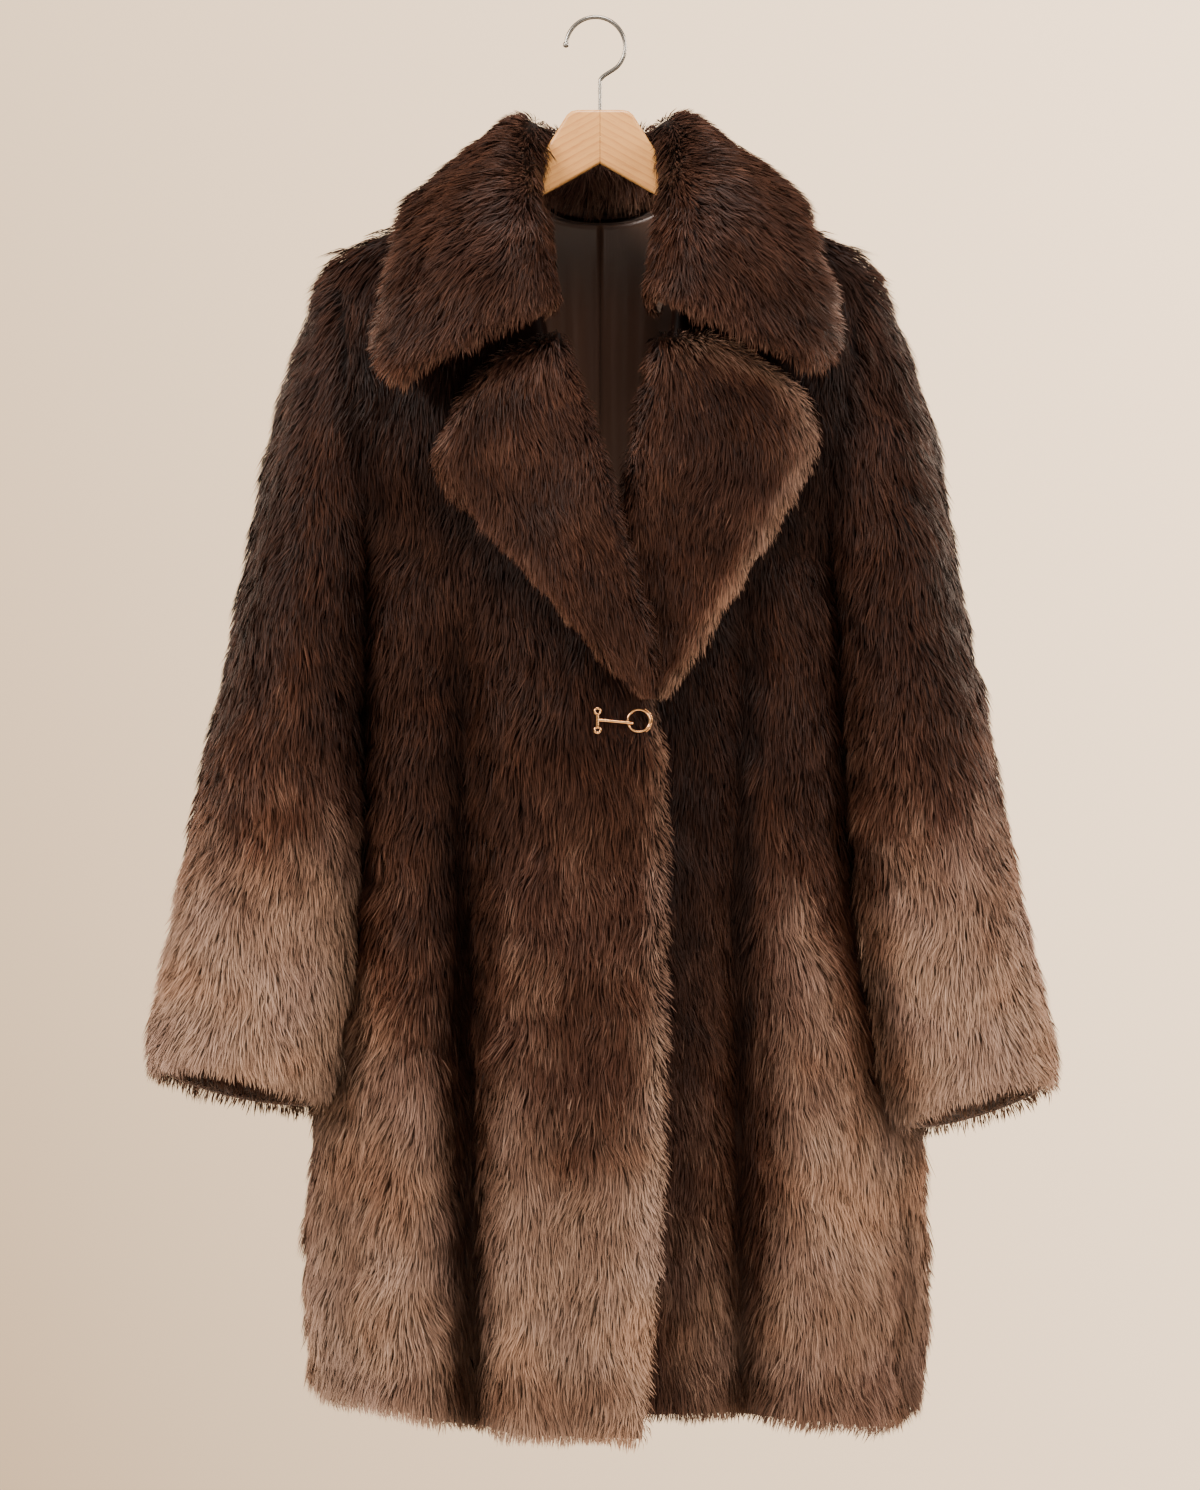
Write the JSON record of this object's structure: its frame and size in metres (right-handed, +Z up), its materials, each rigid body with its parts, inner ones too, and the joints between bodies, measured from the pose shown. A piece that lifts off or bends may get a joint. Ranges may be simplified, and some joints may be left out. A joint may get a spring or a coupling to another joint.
{
  "type": "faux fur coat hung on a wooden hanger",
  "caption": "Long dark brown faux fur coat with a wide notched collar, fading to beige at hem and cuffs, on a pale wooden hanger.",
  "frame": {"origin": "inside of the hook above its shaft, where a rail carries the hanger", "axes": "+Z up, the coat's front faces -Y, +X is the wearer's left"},
  "size_m": [0.6838, 0.2415, 1.0684],
  "materials": {
    "fur": "deep pile, dark brown fading to beige",
    "collar_fur": "deep pile, dark brown",
    "satin": "satin",
    "beech": "clear satin lacquer",
    "nickel": "brushed",
    "rose_gold": "polished rose gold"
  },
  "bodies": {
    "root": {"front_right": "fur", "front_left": "fur", "back": "fur", "sleeve_right": "fur", "sleeve_left": "fur", "collar": "collar_fur", "lapel_right": "collar_fur", "lapel_left": "collar_fur", "lining_right": "satin", "lining_left": "satin", "hanger_arm_right": "beech", "hanger_arm_left": "beech", "hanger_hook": "nickel", "clasp_bar": "rose_gold", "clasp_ring": "rose_gold", "clasp_keeper": "rose_gold"}
  },
  "joints": []
}
